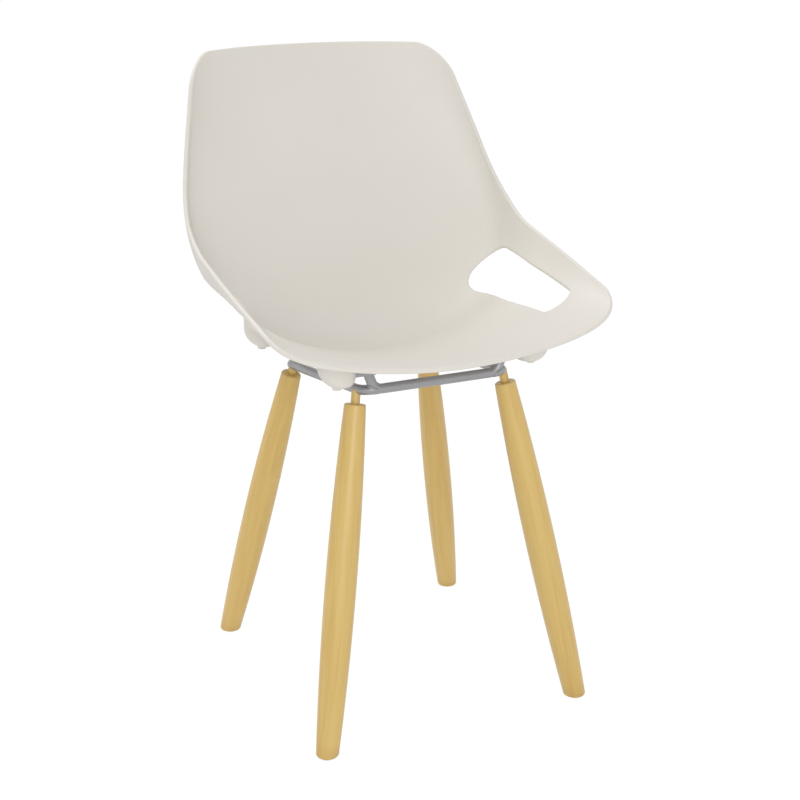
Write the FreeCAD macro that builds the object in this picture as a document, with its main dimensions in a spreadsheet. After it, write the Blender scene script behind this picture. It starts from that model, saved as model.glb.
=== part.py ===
"""Armchair with a one-piece moulded shell, a bent rod underframe and four turned wooden legs.

Millimetres, +Z up, the sitter faces -Y, so the sitter's left hand is at +X.  The origin is on the floor
under the middle of the whole chair.
"""
import FreeCAD
import Part
import math
import os
import Sketcher

V = FreeCAD.Vector

os.makedirs("parts", exist_ok=True)
doc = FreeCAD.newDocument("shell_armchair")

DIMENSIONS = [
    # Moulded shell: side view of the middle line, then of the rim
    ("wall", 6.0, "thickness of the moulding"),
    ("lip_rounding", 1.0, "both edges of the rim and of the arm cut-outs"),
    ("lip_front_y", -242.2, "front edge of the seat"),
    ("lip_front_z", 476.0, "height of the front edge"),
    ("fold_y", 45.3, "where seat and back would meet without a bend"),
    ("fold_z", 423.0, "height of that point"),
    ("fold_radius", 85.5, "bend from seat to back"),
    ("head_y", 237.8, "top of the back"),
    ("head_z", 796.0, "height of the top"),
    ("arm_front_y", -231.2, "front end of the rim"),
    ("arm_front_z", 519.5, "height of the rim at the front"),
    ("arm_fold_y", 82.8, "where arm and back rim would meet"),
    ("arm_fold_z", 583.5, "height of that point"),
    ("arm_fold_radius", 149.0, "sweep of the rim from arm to back"),
    ("rim_head_y", 177.3, "rim at the top of the back"),
    ("rim_head_z", 793.0, "height of the rim at the top"),
    # Moulded shell: half widths and how far each cross-section wraps round
    ("half_width_front", 220.5, "rim at the front"),
    ("half_width_arm", 225.5, "rim half way along the arm"),
    ("half_width_fold", 222.5, "rim at the fold"),
    ("half_width_head", 175.0, "rim at the top"),
    ("back_taper", 1.14, "how late the back narrows"),
    ("wrap_front", 87.0, "slope of the rim at the front, degrees"),
    ("wrap_arm", 61.0, "slope of the rim at the arm, degrees"),
    ("wrap_fold", 97.0, "slope of the rim at the fold, degrees"),
    ("wrap_head", 66.0, "slope of the rim at the top, degrees"),
    ("squareness_front", -0.2, "flatness of the cross-section"),
    ("squareness_arm", 0.28, "flatness of the cross-section"),
    ("squareness_fold", 0.265, "flatness of the cross-section"),
    ("squareness_head", 0.036, "flatness of the cross-section"),
    ("arm_station", 0.65, "place of the arm section, 0 front, 1 fold, 2 top"),
    ("fold_station", 1.28, "place of the fold section"),
    # Outline of the shell's corners
    ("front_corner_x", 229.5, "side of the plan outline"),
    ("front_corner_y", -217.4, "plan outline where the slanted edge meets the side"),
    ("front_chamfer_x", 158.0, "plan outline where the slanted edge leaves the front"),
    ("front_chamfer_y", -236.2, "the same point along Y"),
    ("front_corner_radius", 50.0, "rounding of the front corners"),
    ("front_slant_x", 31.6, "start of the slanted front edge, clear of the lip"),
    ("front_slant_y", -250.2, "the same point along Y"),
    ("front_slant_radius", 200.0, "rounding from the slanted edge to the corner"),
    ("head_corner_radius", 47.0, "rounding of the top corners"),
    ("head_corner_x", 178.9, "front view, top corner before rounding"),
    ("head_side_slope", 0.2636, "front view, slope of the back's side"),
    ("head_corner_z", 794.5, "front view, height of the top corner"),
    ("head_edge_x", 89.5, "front view, start of the falling top edge"),
    ("head_edge_z", 795.1, "height of that point"),
    ("head_trim_depth", 130.0, "how far down the sides the top corner's cut reaches"),
    ("head_trim_turn", 60.0, "direction of that cut in plan, degrees from X"),
    ("trim_reach", 120.0, "how far the cuts stand clear of the shell"),
    ("trim_length", 800.0, "length of the corner cuts"),
    # Arm cut-outs, drawn on a plane at hole_plane_x and cut along a slanting line
    ("hole_plane_x", 160.0, "plane of the cut-out's outline"),
    ("hole_slope", 40.0, "slant of the cut, degrees"),
    ("hole_cut_length", 110.0, "length of the cut"),
    ("hole_front_y", -138.2, "front end"),
    ("hole_rear_y", 68.3, "rear end"),
    ("hole_front_low_z", 501.0, "front lower corner"),
    ("hole_front_high_z", 549.0, "front upper corner"),
    ("hole_rear_low_z", 483.5, "rear lower corner"),
    ("hole_rear_high_z", 574.5, "rear upper corner"),
    ("hole_front_radius", 20.0, "rounding of the front corners"),
    ("hole_rear_low_radius", 34.0, "rounding of the rear lower corner"),
    ("hole_rear_high_radius", 30.0, "rounding of the rear upper corner"),
    # Underframe of bent rod
    ("rod_diameter", 12.0, "steel rod"),
    ("front_bar_y", -167.8, "front bar"),
    ("front_bar_z", 434.7, "height of the front bar"),
    ("rear_bar_y", 78.6, "rear bar"),
    ("rear_bar_z", 400.0, "height of the rear bar"),
    ("side_bar_x", 96.2, "side bars"),
    ("side_bend_radius", 19.0, "corner bends of the side bars"),
    ("side_bar_overlap", 1.0, "straight end inside the cross bar before coping"),
    ("bar_half_length", 81.3, "where a brace turns up from its bar"),
    ("brace_slope", 69.0, "slope of the braces, degrees"),
    ("brace_bend_radius", 15.0, "bend from bar to brace"),
    ("tab_width", 17.0, "flattened end of a brace"),
    ("tab_thickness", 5.0, "flattened end of a brace"),
    ("tab_corner", 3.0, "rounding of the tab's inner corners"),
    ("tab_flat", 0.5, "half of the short flat at the tab's rounded end"),
    ("tab_hole", 7.0, "screw hole in the tab"),
    # Mounts between underframe and shell
    ("mount_diameter", 45.0, "housing"),
    ("mount_rounding", 8.0, "lower edge of a housing"),
    ("front_mount_x", 128.9, "front mounts"),
    ("front_mount_z", 444.5, "underside of the front mounts"),
    ("front_mount_top", 475.0, "flat top of the front mounts"),
    ("rear_mount_x", 131.5, "rear mounts"),
    ("rear_mount_z", 428.0, "underside of the rear mounts"),
    ("rear_mount_top", 487.0, "flat top of the rear mounts"),
    ("tab_lift", 11.0, "underside of the tab above a mount's underside"),
    ("boss_diameter", 20.0, "moulded boss inside a housing"),
    ("insert_diameter", 8.0, "threaded insert"),
    ("insert_length", 8.0, "threaded insert"),
    ("screw_diameter", 6.0, "mounting screw"),
    ("screw_head_diameter", 10.0, "mounting screw"),
    ("screw_head_height", 4.0, "mounting screw"),
    ("cap_diameter", 11.0, "screw cap"),
    ("cap_height", 3.5, "part of the cap below the housing"),
    ("cap_plug", 3.5, "part of the cap inside the housing"),
    ("cap_chamfer", 0.8, "lower edge of the cap"),
    # Legs
    ("front_foot_x", 173.8, "foot centre on the floor"),
    ("front_foot_y", -229.6, "foot centre on the floor"),
    ("rear_foot_x", 172.1, "foot centre on the floor"),
    ("rear_foot_y", 135.2, "foot centre on the floor"),
    ("front_shoulder_x", 100.6, "centre of the front shoulder"),
    ("front_shoulder_y", -155.4, "centre of the front shoulder"),
    ("front_shoulder_z", 416.0, "height of the front shoulder"),
    ("rear_shoulder_x", 98.4, "centre of the rear shoulder"),
    ("rear_shoulder_y", 59.8, "centre of the rear shoulder"),
    ("rear_shoulder_z", 391.6, "height of the rear shoulder"),
    ("foot_radius", 13.3, "leg at the foot"),
    ("belly_radius", 19.0, "leg at half its length"),
    ("shoulder_radius", 13.0, "leg at the shoulder"),
    ("shoulder_edge", 1.2, "chamfer of the shoulder"),
    ("foot_rounding", 3.0, "lower edge of a leg"),
    ("neck_diameter", 11.0, "turned neck above the shoulder"),
    ("foot_allowance", 8.0, "turned length below the floor, cut off level"),
    ("stud_diameter", 6.0, "steel stud that holds a leg"),
    ("stud_depth", 45.0, "depth of the stud below the shoulder"),
    ("glide_diameter", 18.0, "glide under a foot"),
    ("glide_thickness", 1.5, "glide under a foot"),
    ("nail_diameter", 2.4, "nail of a glide"),
    ("nail_length", 14.0, "nail of a glide"),
]

sheet = doc.addObject("Spreadsheet::Sheet", "dims")
for row, (alias, size, note) in enumerate(DIMENSIONS, start=1):
    sheet.set("A%d" % row, alias)
    sheet.set("B%d" % row, str(size))
    sheet.set("C%d" % row, note)
    sheet.setAlias("B%d" % row, alias)
doc.recompute()


def dim(alias):
    """Return one dimension from the sheet."""
    return float(sheet.get(alias))


def bind(obj, **expressions):
    """Bind properties of an object to expressions on the sheet."""
    for prop, text in expressions.items():
        obj.setExpression(prop, text)
    return obj


def unit(a, b):
    """Return the plane direction from a to b and the distance between them."""
    length = math.hypot(b[0] - a[0], b[1] - a[1])
    return ((b[0] - a[0]) / length, (b[1] - a[1]) / length), length


def corner(before, at, after, radius):
    """Round one corner of a plane outline: its two tangent points and the middle of the arc."""
    back, _ = unit(at, before)
    on, _ = unit(at, after)
    half = math.acos(back[0] * on[0] + back[1] * on[1]) / 2
    cut = radius / math.tan(half)
    bisector, _ = unit((0, 0), (back[0] + on[0], back[1] + on[1]))
    reach = radius / math.sin(half) - radius
    start = (at[0] + back[0] * cut, at[1] + back[1] * cut)
    middle = (at[0] + bisector[0] * reach, at[1] + bisector[1] * reach)
    end = (at[0] + on[0] * cut, at[1] + on[1] * cut)
    return start, middle, end


def add_outline(sketch, points, radii, closed=True):
    """Draw a polygon with rounded corners into a sketch; an open one keeps its two ends."""
    count = len(points)
    ends = []
    for i, at in enumerate(points):
        if radii[i] == 0:
            ends.append((at, at))
            continue
        start, middle, end = corner(points[i - 1], at, points[(i + 1) % count], radii[i])
        sketch.addGeometry(Part.Arc(V(*start, 0), V(*middle, 0), V(*end, 0)), False)
        ends.append((start, end))
    for i in range(count if closed else count - 1):
        sketch.addGeometry(Part.LineSegment(V(*ends[i][1], 0), V(*ends[(i + 1) % count][0], 0)), False)


def make_sketch(name, placement, points, radii, closed=True):
    """Make a sketch of a rounded outline on the given plane."""
    sketch = doc.addObject("Sketcher::SketchObject", name)
    sketch.Placement = placement
    add_outline(sketch, points, radii, closed)
    return sketch


def make_extrusion(name, base, direction, length):
    """Extrude a closed sketch into a solid."""
    tool = doc.addObject("Part::Extrusion", name)
    tool.Base = base
    tool.DirMode = "Custom"
    tool.Dir = direction
    tool.LengthFwd = length
    tool.Solid = True
    return tool


def make_cylinder(name, place, radius, height):
    """Make an upright cylinder; place, radius and height are expressions of the sheet's cells."""
    cylinder = doc.addObject("Part::Cylinder", name)
    for axis, expression in zip("xyz", place):
        cylinder.setExpression("Placement.Base." + axis, expression)
    return bind(cylinder, Radius=radius, Height=height)


def dress_edges(kind, name, base, size, chosen):
    """Round or chamfer those edges of an object that a test picks."""
    doc.recompute()
    dressed = doc.addObject("Part::" + kind, name)
    dressed.Base = base
    dressed.Edges = [(i, size, size) for i, edge in enumerate(base.Shape.Edges, start=1) if chosen(edge)]
    return dressed


def rim_of(base, rank):
    """Return a test for the edges of an object's largest face, or with rank 1 of its second largest."""
    face = sorted(base.Shape.Faces, key=lambda face: -face.Area)[rank]
    return lambda edge: any(edge.isSame(rim) for rim in face.Edges)


def keep(name, shape):
    """Store a shape that no primitive or boolean object gives by itself."""
    feature = doc.addObject("Part::Feature", name)
    feature.Shape = shape
    return feature


def lowest_piece(shape):
    """Return the lowest solid of a shape that a cut has split."""
    return min(shape.Solids, key=lambda solid: solid.CenterOfMass.z)


def largest_piece(shape):
    """Return the largest solid of a shape that a cut has split."""
    return max(shape.Solids, key=lambda solid: solid.Volume)


def combine(kind, name, first, *others):
    """Cut, fuse or intersect objects one after another."""
    result = first
    for i, other in enumerate(others):
        step = doc.addObject("Part::" + kind, name if i == len(others) - 1 else "%s_%d" % (name, i))
        step.Base = result
        step.Tool = other
        result = step
    return result


FRONT_PLANE = FreeCAD.Rotation(V(1, 0, 0), 90)
SIDE_PLANE = FreeCAD.Rotation(V(1, 1, 1), 120)
SIDES = (("left", 1), ("right", -1))
ENDS = ("front", "rear")
finished = []


def finish(obj, label):
    """Name a finished sub-part and put it on the list of those to write."""
    obj.Label = label
    finished.append(obj)
    return obj


# Moulded shell

def bent_line(start, bend, end, radius):
    """Return a function from 0..2 to points of a line, an arc and a line; 1 is the arc's middle."""
    along, first = unit(start, bend)
    onward, second = unit(bend, end)
    turn = math.acos(along[0] * onward[0] + along[1] * onward[1])
    cut = radius * math.tan(turn / 2)
    normal = (-along[1], along[0])
    centre = (bend[0] - along[0] * cut + normal[0] * radius, bend[1] - along[1] * cut + normal[1] * radius)
    half_arc = radius * turn / 2

    def on_arc(angle):
        return tuple(c + radius * (a * math.sin(angle) - n * math.cos(angle))
                     for c, a, n in zip(centre, along, normal))

    def at(station):
        if station <= 1:
            run = station * (first - cut + half_arc)
            if run <= first - cut:
                return tuple(s + a * run for s, a in zip(start, along))
            return on_arc((run - first + cut) / radius)
        run = (station - 1) * (second - cut + half_arc)
        if run <= half_arc:
            return on_arc((half_arc + run) / radius)
        return tuple(b + o * (run - half_arc + cut) for b, o in zip(bend, onward))

    return at


def blend(station, name):
    """Blend one of the cross-section's values smoothly between its four stations."""
    stations = (0.0, dim("arm_station"), dim("fold_station"), 2.0)
    values = [dim("%s_%s" % (name, place)) for place in ("front", "arm", "fold", "head")]
    for i in range(3):
        if station <= stations[i + 1]:
            part = (station - stations[i]) / (stations[i + 1] - stations[i])
            part = part * part * (3 - 2 * part)
            return values[i] + (values[i + 1] - values[i]) * part
    return values[-1]


def half_width(station):
    """Half width of the rim: a parabola along the arm, then a taper up the back."""
    front, arm, fold, head = [dim("half_width_" + place) for place in ("front", "arm", "fold", "head")]
    if station <= 1:
        return (front * (1 - station) * (1 - 2 * station) + arm * 4 * station * (1 - station)
                + fold * station * (2 * station - 1))
    return fold - (fold - head) * (station - 1) ** dim("back_taper")


middle_line = bent_line((dim("lip_front_y"), dim("lip_front_z")), (dim("fold_y"), dim("fold_z")),
                        (dim("head_y"), dim("head_z")), dim("fold_radius"))
rim_line = bent_line((dim("arm_front_y"), dim("arm_front_z")), (dim("arm_fold_y"), dim("arm_fold_z")),
                     (dim("rim_head_y"), dim("rim_head_z")), dim("arm_fold_radius"))


def cross_section(station, count):
    """Points of one cross-section of the sitting face, from the right rim to the left rim."""
    low = middle_line(station)
    rim = rim_line(station)
    width = half_width(station)
    wrap = math.radians(blend(station, "wrap"))
    squareness = blend(station, "squareness")
    spread = math.sin(wrap) * (1 + squareness * math.cos(wrap) ** 2)
    points = []
    for i in range(count + 1):
        angle = wrap * (2 * i / count - 1)
        across = math.sin(angle) * (1 + squareness * math.cos(angle) ** 2) / spread
        rise = (1 - math.cos(angle)) / (1 - math.cos(wrap))
        points.append(V(width * across, low[0] + (rim[0] - low[0]) * rise, low[1] + (rim[1] - low[1]) * rise))
    return points


def smooth_surface(grid):
    """Fit a smooth surface through a grid of points."""
    surface = Part.BSplineSurface()
    surface.interpolate(grid)
    return surface


def offset_grid(grid, distance):
    """Move every point of a grid square to the surface, away from the sitter."""
    moved = []
    last_row, last = len(grid) - 1, len(grid[0]) - 1
    for i, row in enumerate(grid):
        line = []
        for j, point in enumerate(row):
            along = grid[min(i + 1, last_row)][j] - grid[max(i - 1, 0)][j]
            across = row[min(j + 1, last)] - row[max(j - 1, 0)]
            line.append(point + across.cross(along).normalize() * -distance)
        moved.append(line)
    return moved


def moulded_sheet():
    """Solid between the sitting face and the outer face, before its corners are cut."""
    stations, count = 20, 16
    inner = [cross_section(2 * i / stations, count) for i in range(stations + 1)]
    outer = offset_grid(inner, dim("wall"))
    faces = []
    surfaces = [smooth_surface(inner), smooth_surface(outer)]
    for surface in surfaces:
        faces.append(surface.toShape())
    for end in (0, 1):
        for edge in ("uIso", "vIso"):
            pair = [getattr(surface, edge)(surface.bounds()[(0 if edge == "uIso" else 2) + end]).toShape()
                    for surface in surfaces]
            faces.append(Part.makeRuledSurface(*pair))
    hull = Part.makeShell(faces)
    hull.sewShape()
    solid = Part.makeSolid(hull)
    if solid.Volume < 0:
        solid.reverse()
    return solid


def front_corner_tool(side, sx):
    """Everything outside one rounded front corner, seen from above."""
    side_x = sx * dim("front_corner_x")
    far_x = side_x + sx * dim("trim_reach")
    far_y = dim("front_slant_y") - dim("trim_reach")
    slant = (sx * dim("front_slant_x"), dim("front_slant_y"))
    outline = make_sketch("front_corner_" + side, FreeCAD.Placement(), [
        (slant[0], far_y), slant, (sx * dim("front_chamfer_x"), dim("front_chamfer_y")),
        (side_x, dim("front_corner_y")), (side_x, dim("fold_y")), (far_x, dim("fold_y")), (far_x, far_y)],
        [0, 0, dim("front_slant_radius"), dim("front_corner_radius"), 0, 0, 0])
    return make_extrusion("front_trim_" + side, outline, V(0, 0, 1), dim("trim_length"))


def head_corner_tool(side, sx):
    """Everything outside one rounded top corner, seen from the front."""
    corner_x, top = dim("head_corner_x"), dim("head_corner_z")
    far_x, far_z = corner_x + dim("trim_reach"), top + dim("trim_reach")
    low_x = corner_x + dim("head_side_slope") * dim("head_trim_depth")
    low_z = top - dim("head_trim_depth")
    edge_x = dim("head_edge_x")
    outline = make_sketch("head_corner_" + side, FreeCAD.Placement(V(0, 0, 0), FRONT_PLANE), [
        (sx * edge_x, far_z), (sx * edge_x, dim("head_edge_z")), (sx * corner_x, top),
        (sx * low_x, low_z), (sx * far_x, low_z), (sx * far_x, far_z)],
        [0, 0, dim("head_corner_radius"), 0, 0, 0])
    turn = math.radians(dim("head_trim_turn"))
    return make_extrusion("head_trim_" + side, outline, V(sx * math.cos(turn), math.sin(turn), 0),
                          dim("trim_length"))


def arm_hole_tool(side, sx):
    """One arm cut-out, drawn from the side and cut outwards and down through the wall."""
    plane = FreeCAD.Placement(V(sx * dim("hole_plane_x"), 0, 0), SIDE_PLANE)
    front, rear = dim("hole_front_y"), dim("hole_rear_y")
    outline = make_sketch("arm_hole_" + side, plane, [
        (front, dim("hole_front_low_z")), (rear, dim("hole_rear_low_z")),
        (rear, dim("hole_rear_high_z")), (front, dim("hole_front_high_z"))],
        [dim("hole_front_radius"), dim("hole_rear_low_radius"), dim("hole_rear_high_radius"),
         dim("hole_front_radius")])
    slant = math.radians(dim("hole_slope"))
    return make_extrusion("arm_cut_" + side, outline, V(sx * math.cos(slant), 0, -math.sin(slant)),
                          dim("hole_cut_length"))


moulding = moulded_sheet()
blank = keep("moulded_blank", moulding)
trim_tools = []
for side, sx in SIDES:
    trim_tools += [front_corner_tool(side, sx), head_corner_tool(side, sx), arm_hole_tool(side, sx)]
doc.recompute()
trimmed = combine("Cut", "trimmed_shell", blank, *trim_tools)
doc.recompute()
for rank, face in enumerate(("outer", "sitting")):
    trimmed = dress_edges("Fillet", face + "_lip", trimmed, dim("lip_rounding"), rim_of(trimmed, rank))
    doc.recompute()


# Underframe: a front and a rear rod with braces and flat tabs, and two side rods between them

def swept_rod(name, path, start, tangent):
    """Sweep the rod's round section along a path."""
    ring = doc.addObject("Part::Circle", name + "_section")
    bind(ring, Radius="dims.rod_diameter / 2")
    ring.Placement = FreeCAD.Placement(start, FreeCAD.Rotation(V(0, 0, 1), tangent))
    rod = doc.addObject("Part::Sweep", name)
    rod.Sections = [ring]
    rod.Spine = (path, [])
    rod.Solid = True
    rod.Frenet = True
    return rod


def drilled_tab(end, side, sx, inner_x, low_z):
    """Flat end of a brace, with its screw hole."""
    spot = "%s_%s" % (end, side)
    mount_x, bar_y = dim(end + "_mount_x"), dim(end + "_bar_y")
    half = dim("tab_width") / 2
    outer_x = mount_x + half
    outline = make_sketch("tab_outline_" + spot, FreeCAD.Placement(V(0, 0, low_z), FreeCAD.Rotation()), [
        (sx * inner_x, bar_y - half), (sx * outer_x, bar_y - half),
        (sx * outer_x, bar_y + half), (sx * inner_x, bar_y + half)],
        [dim("tab_corner"), half - dim("tab_flat"), half - dim("tab_flat"), dim("tab_corner")])
    tab = make_extrusion("tab_blank_" + spot, outline, V(0, 0, 1), dim("tab_thickness"))
    hole = make_cylinder("tab_hole_" + spot, mount_place(end, sx), "dims.tab_hole / 2",
                         "2 * dims.tab_lift")
    return combine("Cut", "tab_" + spot, tab, hole)


def mount_place(end, sx, rise="0"):
    """Expressions for the point on a mount's axis that is rise above its underside."""
    return ("%d * dims.%s_mount_x" % (sx, end), "dims.%s_bar_y" % end, "dims.%s_mount_z + %s" % (end, rise))


def cross_rod(end):
    """Bar across the chair, turned up at both ends into braces that end in flat tabs."""
    bar_y, bar_z = dim(end + "_bar_y"), dim(end + "_bar_z")
    low_z = dim(end + "_mount_z") + dim("tab_lift")
    top_z = low_z + dim("tab_thickness") / 2
    slope = math.radians(dim("brace_slope"))
    bend_x = dim("bar_half_length")
    top_x = bend_x + (top_z - bar_z) / math.tan(slope)
    bend = dim("brace_bend_radius")
    path = make_sketch(end + "_path", FreeCAD.Placement(V(0, bar_y, 0), FRONT_PLANE), [
        (-top_x, top_z), (-bend_x, bar_z), (bend_x, bar_z), (top_x, top_z)], [0, bend, bend, 0], closed=False)
    bar = swept_rod(end + "_bar", path, V(-top_x, bar_y, top_z), V(math.cos(slope), 0, -math.sin(slope)))
    inner_x = top_x - dim("rod_diameter") / 2 - dim("tab_corner")
    tabs = [drilled_tab(end, side, sx, inner_x, low_z) for side, sx in SIDES]
    return finish(combine("Fuse", end + "_rod", bar, *tabs), end + "_rod")


def side_rod(side, sx, cross_rods):
    """Bar from the front rod to the rear rod, bent in at both ends and coped to them."""
    front = V(sx * dim("side_bar_x"), dim("front_bar_y"), dim("front_bar_z"))
    rear = V(sx * dim("side_bar_x"), dim("rear_bar_y"), dim("rear_bar_z"))
    run = rear - front
    pitch = math.degrees(math.atan2(run.z, run.y))
    bend = dim("side_bend_radius")
    inner_x = sx * (dim("side_bar_x") - bend - dim("side_bar_overlap"))
    plane = FreeCAD.Placement(V(0, front.y, front.z), FreeCAD.Rotation(V(1, 0, 0), pitch))
    path = make_sketch("side_path_" + side, plane, [
        (inner_x, 0), (front.x, 0), (front.x, run.Length), (inner_x, run.Length)], [0, bend, bend, 0], closed=False)
    bar = swept_rod("side_bar_" + side, path, V(inner_x, front.y, front.z), V(sx, 0, 0))
    doc.recompute()
    shape = bar.Shape
    for rod in cross_rods:
        shape = shape.cut(rod.Shape)
    return finish(keep("side_rod_" + side, largest_piece(shape)), "side_rod_" + side)


rods = {end: cross_rod(end) for end in ENDS}
doc.recompute()
for side, sx in SIDES:
    rods[side] = side_rod(side, sx, [rods[end] for end in ENDS])


# Mounts: a housing round each tab, a boss moulded on the shell with a threaded insert, a screw and its cap

def add_mount(end, side, sx):
    """Make one mount's loose pieces and return the boss that belongs to the shell."""
    spot = "%s_%s" % (end, side)
    above_tab = "dims.tab_lift + dims.tab_thickness"
    above_cap = "dims.cap_plug + dims.screw_head_height"
    insert_place = mount_place(end, sx, above_tab)

    nub = make_cylinder("cap_nub_" + spot, mount_place(end, sx, "-dims.cap_height"),
                        "dims.cap_diameter / 2", "dims.cap_height")
    nub = dress_edges("Chamfer", "cap_edge_" + spot, nub, dim("cap_chamfer"),
                      lambda edge: edge.BoundBox.ZMax < dim(end + "_mount_z") - dim("cap_height") / 2)
    plug = make_cylinder("cap_plug_" + spot, mount_place(end, sx), "dims.screw_head_diameter / 2", "dims.cap_plug")
    cap = finish(combine("Fuse", "screw_cap_" + spot, nub, plug), "screw_cap_" + spot)

    head = make_cylinder("screw_head_" + spot, mount_place(end, sx, "dims.cap_plug"),
                         "dims.screw_head_diameter / 2", "dims.screw_head_height")
    shank = make_cylinder("screw_shank_" + spot, mount_place(end, sx, above_cap), "dims.screw_diameter / 2",
                          above_tab + " + dims.insert_length - " + above_cap.replace("+", "-"))
    screw = finish(combine("Fuse", "mount_screw_" + spot, head, shank), "mount_screw_" + spot)

    bore = make_cylinder("insert_bore_" + spot, insert_place, "dims.insert_diameter / 2", "dims.insert_length")
    thread = make_cylinder("insert_thread_" + spot, insert_place, "dims.screw_diameter / 2", "dims.insert_length")
    finish(combine("Cut", "threaded_insert_" + spot, bore, thread), "threaded_insert_" + spot)

    tall = "dims.%s_mount_top - dims.%s_mount_z" % (end, end)
    pillar = make_cylinder("boss_blank_" + spot, insert_place, "dims.boss_diameter / 2",
                           "%s - (%s) + dims.boss_diameter" % (tall, above_tab))
    body = make_cylinder("housing_blank_" + spot, mount_place(end, sx), "dims.mount_diameter / 2", tall)
    body = dress_edges("Fillet", "housing_round_" + spot, body, dim("mount_rounding"),
                       lambda edge: edge.BoundBox.ZMax < dim(end + "_mount_z") + dim("mount_rounding"))
    doc.recompute()
    seated = keep("housing_seated_" + spot, lowest_piece(body.Shape.cut(moulding)))
    boss = keep("boss_seated_" + spot, lowest_piece(pillar.Shape.cut(moulding)))
    finish(combine("Cut", "mount_" + spot, seated, pillar, rods[end], screw, cap), "mount_" + spot)
    return combine("Cut", "boss_" + spot, boss, bore)


bosses = [add_mount(end, side, sx) for end in ENDS for side, sx in SIDES]
finish(combine("Fuse", "seat_shell", trimmed, *bosses), "seat_shell")


# Legs: a turned blank cut level at the floor, a neck coped to the side rod, a steel stud, a glide and its nail

def side_rod_height(y):
    """Height of the side rods' middle line."""
    rise = (dim("rear_bar_z") - dim("front_bar_z")) / (dim("rear_bar_y") - dim("front_bar_y"))
    return dim("front_bar_z") + rise * (y - dim("front_bar_y"))


def leg_profile(spot, plane, length, tip):
    """Half section of a turned leg: a long bulge, a chamfered shoulder and a neck."""
    foot, below = dim("foot_radius"), -dim("foot_allowance")
    shoulder, edge, neck = dim("shoulder_radius"), dim("shoulder_edge"), dim("neck_diameter") / 2
    profile = doc.addObject("Sketcher::SketchObject", "leg_profile_" + spot)
    profile.Placement = plane
    bulge = Part.Arc(V(foot, below, 0), V(dim("belly_radius"), length / 2, 0), V(shoulder, length - edge, 0))
    profile.addGeometry(bulge, False)
    line = [(shoulder, length - edge), (shoulder - edge, length), (neck, length), (neck, tip), (0, tip),
            (0, below), (foot, below)]
    for start, end in zip(line, line[1:]):
        profile.addGeometry(Part.LineSegment(V(*start, 0), V(*end, 0)), False)
    return profile


def add_leg(end, side, sx):
    """Make one leg with its stud, glide and nail."""
    spot = "%s_%s" % (end, side)
    foot = V(sx * dim(end + "_foot_x"), dim(end + "_foot_y"), 0)
    shoulder = V(sx * dim(end + "_shoulder_x"), dim(end + "_shoulder_y"), dim(end + "_shoulder_z"))
    length = (shoulder - foot).Length
    axis = (shoulder - foot).normalize()
    lean = FreeCAD.Rotation(V(0, 0, 1), axis)
    slope = (side_rod_height(foot.y + 1) - side_rod_height(foot.y))
    tip = side_rod_height(foot.y) / (axis.z - slope * axis.y)

    plane = FreeCAD.Placement(foot, lean.multiply(FRONT_PLANE))
    turned = doc.addObject("Part::Revolution", "turned_" + spot)
    turned.Source = leg_profile(spot, plane, length, tip)
    turned.Base = foot
    turned.Axis = axis
    turned.Angle = 360
    turned.Solid = True
    floor = doc.addObject("Part::Box", "floor_" + spot)
    bind(floor, Length="4 * dims.belly_radius", Width="4 * dims.belly_radius", Height="dims.belly_radius")
    corner_of_floor = V(2 * dim("belly_radius"), 2 * dim("belly_radius"), dim("belly_radius"))
    floor.Placement.Base = foot - corner_of_floor + V(0, 0, dim("glide_thickness"))
    level = combine("Cut", "level_" + spot, turned, floor)
    rounded = dress_edges("Fillet", "sole_" + spot, level, dim("foot_rounding"),
                          lambda edge: edge.BoundBox.ZMax < dim("glide_thickness") + dim("foot_rounding"))

    rod = doc.addObject("Part::Cylinder", "stud_blank_" + spot)
    bind(rod, Radius="dims.stud_diameter / 2")
    rod.Height = dim("stud_depth") + tip - length
    rod.Placement = FreeCAD.Placement(shoulder - axis * dim("stud_depth"), lean)
    doc.recompute()
    stud = finish(keep("leg_stud_" + spot, lowest_piece(rod.Shape.cut(rods[side].Shape))), "leg_stud_" + spot)

    place = ("%d * dims.%s_foot_x" % (sx, end), "dims.%s_foot_y" % end)
    nail = make_cylinder("glide_nail_" + spot, place + ("dims.glide_thickness / 2",), "dims.nail_diameter / 2",
                         "dims.nail_length")
    disc = make_cylinder("glide_disc_" + spot, place + ("0",), "dims.glide_diameter / 2", "dims.glide_thickness")
    finish(combine("Cut", "glide_" + spot, disc, nail), "glide_" + spot)
    finish(nail, "glide_nail_" + spot)
    finish(combine("Cut", "leg_" + spot, rounded, rods[side], stud, nail), "leg_" + spot)


for end in ENDS:
    for side, sx in SIDES:
        add_leg(end, side, sx)
doc.recompute()

for obj in doc.Objects:
    for state in obj.State:
        if state in ("Invalid", "Error"):
            raise RuntimeError("%s is not up to date: %s" % (obj.Name, state))
for obj in finished:
    if obj.Shape.isNull() or not obj.Shape.isValid() or len(obj.Shape.Solids) != 1:
        raise RuntimeError("%s is not one valid solid" % obj.Label)
for obj in finished:
    obj.Shape.exportStep("parts/%s.step" % obj.Label)
    print("%-28s %9.0f mm3" % (obj.Label, obj.Shape.Volume))
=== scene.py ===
"""Looks of a moulded shell armchair with a bent rod underframe and four turned wooden legs.

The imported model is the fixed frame.  The shell is modelled again here with its rounded lip, from the same
sizes as the solid, and every other part keeps its solid and gets its finish.  Metres, +Z up, the sitter faces
-Y; sizes in millimetres are marked as such.
"""

import logging
import math
from collections.abc import Callable, Sequence
from dataclasses import dataclass, field
from enum import Enum

import bpy
import numpy as np
from mathutils import Euler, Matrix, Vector
from mathutils.geometry import delaunay_2d_cdt


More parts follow.
